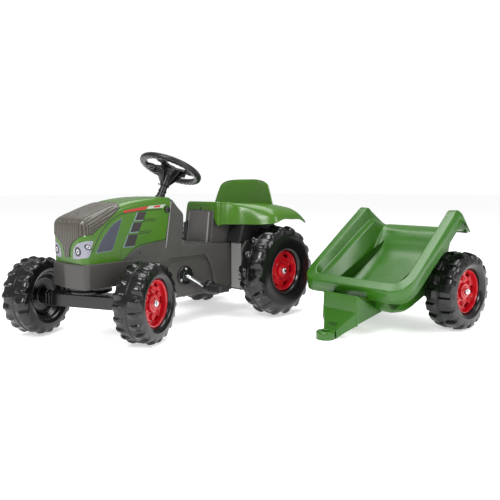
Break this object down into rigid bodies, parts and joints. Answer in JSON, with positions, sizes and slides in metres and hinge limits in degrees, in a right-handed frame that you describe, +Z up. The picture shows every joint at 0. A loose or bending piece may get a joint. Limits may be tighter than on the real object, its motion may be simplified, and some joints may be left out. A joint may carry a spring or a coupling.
{
  "type": "pedal tractor with trailer",
  "caption": "Child's pedal tractor with steered front axle, chain-driven rear axle, bucket seat and fenders, and an unhitched two-wheel tub trailer parked beside it.",
  "frame": {"origin": "on the floor, under the middle of the bounding box of the tractor and its parked trailer", "axes": "+Z up along the hitch pin; the tractor faces -Y and its left side is +X; wheels stand on Z = 0"},
  "size_m": [0.9962, 1.127, 0.5183],
  "materials": {
    "green_plastic": "glossy",
    "grey_plastic": "satin",
    "taupe_plastic": "satin",
    "black_plastic": "glossy",
    "red_plastic": "glossy",
    "steel": "satin",
    "chrome": "polished",
    "black_steel": "satin"
  },
  "bodies": {
    "chassis": {"chassis_shell": "grey_plastic", "grille_cap": "taupe_plastic", "hood_shell": "green_plastic", "hood_knob_left": "black_plastic", "hood_knob_right": "black_plastic", "dash_cowl": "grey_plastic", "column_bush": "black_plastic", "column_bracket": "black_steel", "seat_shell": "green_plastic", "seat_panel": "grey_plastic", "crank_bearing_left": "black_plastic", "crank_bearing_right": "black_plastic", "bearing_screw_1": "chrome", "bearing_screw_2": "chrome", "bearing_screw_3": "chrome", "drive_chain": "black_steel", "rear_bearing_left": "black_plastic", "rear_bearing_right": "black_plastic", "hitch_bracket": "black_steel", "hitch_pin": "steel", "king_pin": "black_steel"},
    "front_axle": {"axle_beam": "black_plastic", "front_axle_rod": "steel", "front_cap_left": "chrome", "front_cap_right": "chrome"},
    "drag_link": {"drag_link": "black_steel"},
    "steering": {"steering_wheel": "black_plastic", "wheel_cap": "black_plastic", "steering_column": "black_steel", "column_bolt": "steel"},
    "front_wheel_left": {"front_tyre_left": "black_plastic", "front_rim_left": "red_plastic"},
    "front_wheel_right": {"front_tyre_right": "black_plastic", "front_rim_right": "red_plastic"},
    "crank": {"crank_shaft": "chrome", "crank_sprocket": "steel"},
    "pedal_left": {"pedal_left": "black_plastic"},
    "pedal_right": {"pedal_right": "black_plastic"},
    "rear_axle": {"rear_axle_rod": "steel", "rear_sprocket": "steel", "rear_cap_left": "chrome", "rear_cap_right": "chrome", "rear_tyre_right": "black_plastic", "rear_rim_right": "red_plastic"},
    "rear_wheel_left": {"rear_tyre_left": "black_plastic", "rear_rim_left": "red_plastic"},
    "trailer": {"trailer_tub": "green_plastic", "trailer_drawbar": "green_plastic", "trailer_axle_carrier": "black_steel", "trailer_axle_rod": "steel", "trailer_sleeve_left": "black_plastic", "trailer_sleeve_right": "black_plastic", "trailer_cap_left": "chrome", "trailer_cap_right": "chrome"},
    "trailer_wheel_left": {"trailer_tyre_left": "black_plastic", "trailer_rim_left": "red_plastic"},
    "trailer_wheel_right": {"trailer_tyre_right": "black_plastic", "trailer_rim_right": "red_plastic"}
  },
  "joints": [
    {"name": "steer", "type": "hinge", "parent": "chassis", "child": "front_axle", "pos_m": [-0.25709, -0.38003, 0.141], "axis": [0, 0, 1], "range_deg": [-44, 0]},
    {"name": "column_turn", "type": "hinge", "parent": "chassis", "child": "steering", "pos_m": [-0.25709, -0.08753, 0.47], "axis": [0, 0.4472, 0.8944], "range_deg": [-44, 0]},
    {"name": "link_swing", "type": "hinge", "parent": "front_axle", "child": "drag_link", "pos_m": [-0.29882, -0.39688, 0.1773], "axis": [0, 0, 1], "range_deg": [0, 44]},
    {"name": "front_wheel_left_spin", "type": "hinge", "parent": "front_axle", "child": "front_wheel_left", "pos_m": [-0.09484, -0.31447, 0.111], "axis": [0.9272, 0.3746, 0], "continuous": true},
    {"name": "front_wheel_right_spin", "type": "hinge", "parent": "front_axle", "child": "front_wheel_right", "pos_m": [-0.41935, -0.44558, 0.111], "axis": [0.9272, 0.3746, 0], "continuous": true},
    {"name": "rear_axle_turn", "type": "hinge", "parent": "chassis", "child": "rear_axle", "pos_m": [-0.25709, 0.19997, 0.147], "axis": [1, 0, 0], "continuous": true},
    {"name": "crank_turn", "type": "hinge", "parent": "chassis", "child": "crank", "pos_m": [-0.25709, -0.09503, 0.149], "axis": [1, 0, 0], "continuous": true},
    {"name": "pedal_left_spin", "type": "hinge", "parent": "crank", "child": "pedal_left", "pos_m": [-0.12709, -0.03331, 0.11192], "axis": [1, 0, 0], "continuous": true},
    {"name": "pedal_right_spin", "type": "hinge", "parent": "crank", "child": "pedal_right", "pos_m": [-0.38709, -0.15674, 0.18608], "axis": [1, 0, 0], "continuous": true},
    {"name": "rear_wheel_left_spin", "type": "hinge", "parent": "rear_axle", "child": "rear_wheel_left", "pos_m": [-0.07659, 0.19997, 0.147], "axis": [1, 0, 0], "continuous": true},
    {"name": "trailer_roll", "type": "slide", "parent": "chassis", "child": "trailer", "axis": [0.1219, 0.9925, 0], "range_m": [0, 0.5]},
    {"name": "trailer_wheel_left_spin", "type": "hinge", "parent": "trailer", "child": "trailer_wheel_left", "pos_m": [0.44164, 0.4042, 0.114], "axis": [0.9925, -0.1219, 0], "continuous": true},
    {"name": "trailer_wheel_right_spin", "type": "hinge", "parent": "trailer", "child": "trailer_wheel_right", "pos_m": [0.10318, 0.44575, 0.114], "axis": [0.9925, -0.1219, 0], "continuous": true}
  ],
  "couplings": [
    {"joint": "column_turn", "follows": "steer", "ratio": 1},
    {"joint": "link_swing", "follows": "steer", "ratio": -1},
    {"joint": "crank_turn", "follows": "rear_axle_turn", "ratio": 0.77778}
  ]
}
